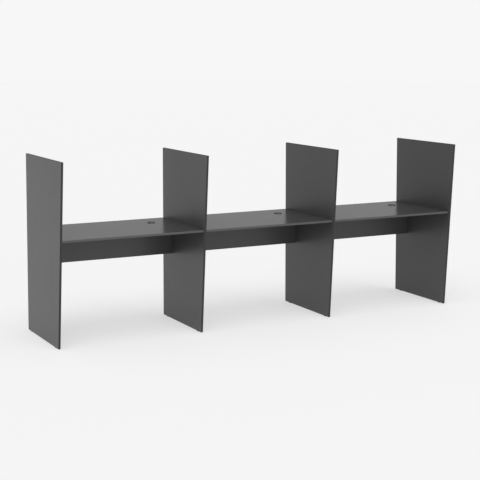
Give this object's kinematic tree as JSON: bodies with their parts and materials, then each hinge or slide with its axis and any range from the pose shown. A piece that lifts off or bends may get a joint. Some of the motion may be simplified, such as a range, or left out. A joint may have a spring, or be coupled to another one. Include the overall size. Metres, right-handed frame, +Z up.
{
  "type": "study carrel",
  "caption": "Straight row of open study places: worktops with modesty panels and cable grommets between tapered upright panels on levelling feet.",
  "frame": {"origin": "centre of the row's footprint on the floor", "axes": "+X along the row to the right of a seated user, +Y to the back of the worktops, +Z up"},
  "size_m": [3.144, 0.755, 1.255],
  "materials": {
    "panel_laminate": "graphite melamine laminate on particleboard, satin, finely textured",
    "worktop_laminate": "graphite melamine laminate on particleboard, satin, finely textured",
    "panel_edging": "dark edging strip, satin",
    "worktop_edging": "graphite edging strip, a little lighter than the boards, satin",
    "grommet_ring_plastic": "graphite moulded plastic, fine spark texture",
    "grommet_cap_plastic": "graphite moulded plastic, fine spark texture",
    "foot_plastic": "black moulded plastic",
    "zinc_steel": "zinc plated, bright",
    "cam_zinc": "die-cast zinc, as cast",
    "cover_plastic": "graphite plastic cover cap, matt",
    "beech": "raw fluted beech"
  },
  "bodies": {
    "row_frame": {"left_end_panel": "panel_laminate", "left_divider_panel": "panel_laminate", "right_divider_panel": "panel_laminate", "right_end_panel": "panel_laminate", "left_end_edging": "panel_edging", "left_divider_edging": "panel_edging", "right_divider_edging": "panel_edging", "right_end_edging": "panel_edging", "left_worktop": "worktop_laminate", "middle_worktop": "worktop_laminate", "right_worktop": "worktop_laminate", "left_worktop_edging": "worktop_edging", "middle_worktop_edging": "worktop_edging", "right_worktop_edging": "worktop_edging", "left_modesty_panel": "panel_laminate", "middle_modesty_panel": "panel_laminate", "right_modesty_panel": "panel_laminate", "left_modesty_edging": "panel_edging", "middle_modesty_edging": "panel_edging", "right_modesty_edging": "panel_edging", "left_grommet_ring": "grommet_ring_plastic", "middle_grommet_ring": "grommet_ring_plastic", "right_grommet_ring": "grommet_ring_plastic", "foot_inserts": "zinc_steel", "worktop_cam_locks": "cam_zinc", "modesty_cam_locks": "cam_zinc", "worktop_cam_covers": "cover_plastic", "modesty_cam_covers": "cover_plastic", "end_panel_bolts": "zinc_steel", "divider_bolts": "zinc_steel", "end_panel_dowels": "beech", "divider_dowels": "beech"},
    "left_cap": {"left_grommet_cap": "grommet_cap_plastic"},
    "middle_cap": {"middle_grommet_cap": "grommet_cap_plastic"},
    "right_cap": {"right_grommet_cap": "grommet_cap_plastic"},
    "left_end_front_foot": {"left_end_front_pad": "foot_plastic", "left_end_front_stem": "zinc_steel"},
    "left_end_rear_foot": {"left_end_rear_pad": "foot_plastic", "left_end_rear_stem": "zinc_steel"},
    "left_divider_front_foot": {"left_divider_front_pad": "foot_plastic", "left_divider_front_stem": "zinc_steel"},
    "left_divider_rear_foot": {"left_divider_rear_pad": "foot_plastic", "left_divider_rear_stem": "zinc_steel"},
    "right_divider_front_foot": {"right_divider_front_pad": "foot_plastic", "right_divider_front_stem": "zinc_steel"},
    "right_divider_rear_foot": {"right_divider_rear_pad": "foot_plastic", "right_divider_rear_stem": "zinc_steel"},
    "right_end_front_foot": {"right_end_front_pad": "foot_plastic", "right_end_front_stem": "zinc_steel"},
    "right_end_rear_foot": {"right_end_rear_pad": "foot_plastic", "right_end_rear_stem": "zinc_steel"}
  },
  "joints": [
    {"name": "left_cap_turn", "type": "hinge", "parent": "row_frame", "child": "left_cap", "pos_m": [-0.711, 0.1775, 0.735], "axis": [0, 0, 1], "continuous": true},
    {"name": "middle_cap_turn", "type": "hinge", "parent": "row_frame", "child": "middle_cap", "pos_m": [0.332, 0.1775, 0.735], "axis": [0, 0, 1], "continuous": true},
    {"name": "right_cap_turn", "type": "hinge", "parent": "row_frame", "child": "right_cap", "pos_m": [1.375, 0.1775, 0.735], "axis": [0, 0, 1], "continuous": true},
    {"name": "left_end_front_foot_height", "type": "slide", "parent": "row_frame", "child": "left_end_front_foot", "axis": [0, 0, -1], "range_m": [-0.0007, 0.01]},
    {"name": "left_end_rear_foot_height", "type": "slide", "parent": "row_frame", "child": "left_end_rear_foot", "axis": [0, 0, -1], "range_m": [-0.0007, 0.01]},
    {"name": "left_divider_front_foot_height", "type": "slide", "parent": "row_frame", "child": "left_divider_front_foot", "axis": [0, 0, -1], "range_m": [-0.0007, 0.01]},
    {"name": "left_divider_rear_foot_height", "type": "slide", "parent": "row_frame", "child": "left_divider_rear_foot", "axis": [0, 0, -1], "range_m": [-0.0007, 0.01]},
    {"name": "right_divider_front_foot_height", "type": "slide", "parent": "row_frame", "child": "right_divider_front_foot", "axis": [0, 0, -1], "range_m": [-0.0007, 0.01]},
    {"name": "right_divider_rear_foot_height", "type": "slide", "parent": "row_frame", "child": "right_divider_rear_foot", "axis": [0, 0, -1], "range_m": [-0.0007, 0.01]},
    {"name": "right_end_front_foot_height", "type": "slide", "parent": "row_frame", "child": "right_end_front_foot", "axis": [0, 0, -1], "range_m": [-0.0007, 0.01]},
    {"name": "right_end_rear_foot_height", "type": "slide", "parent": "row_frame", "child": "right_end_rear_foot", "axis": [0, 0, -1], "range_m": [-0.0007, 0.01]}
  ]
}
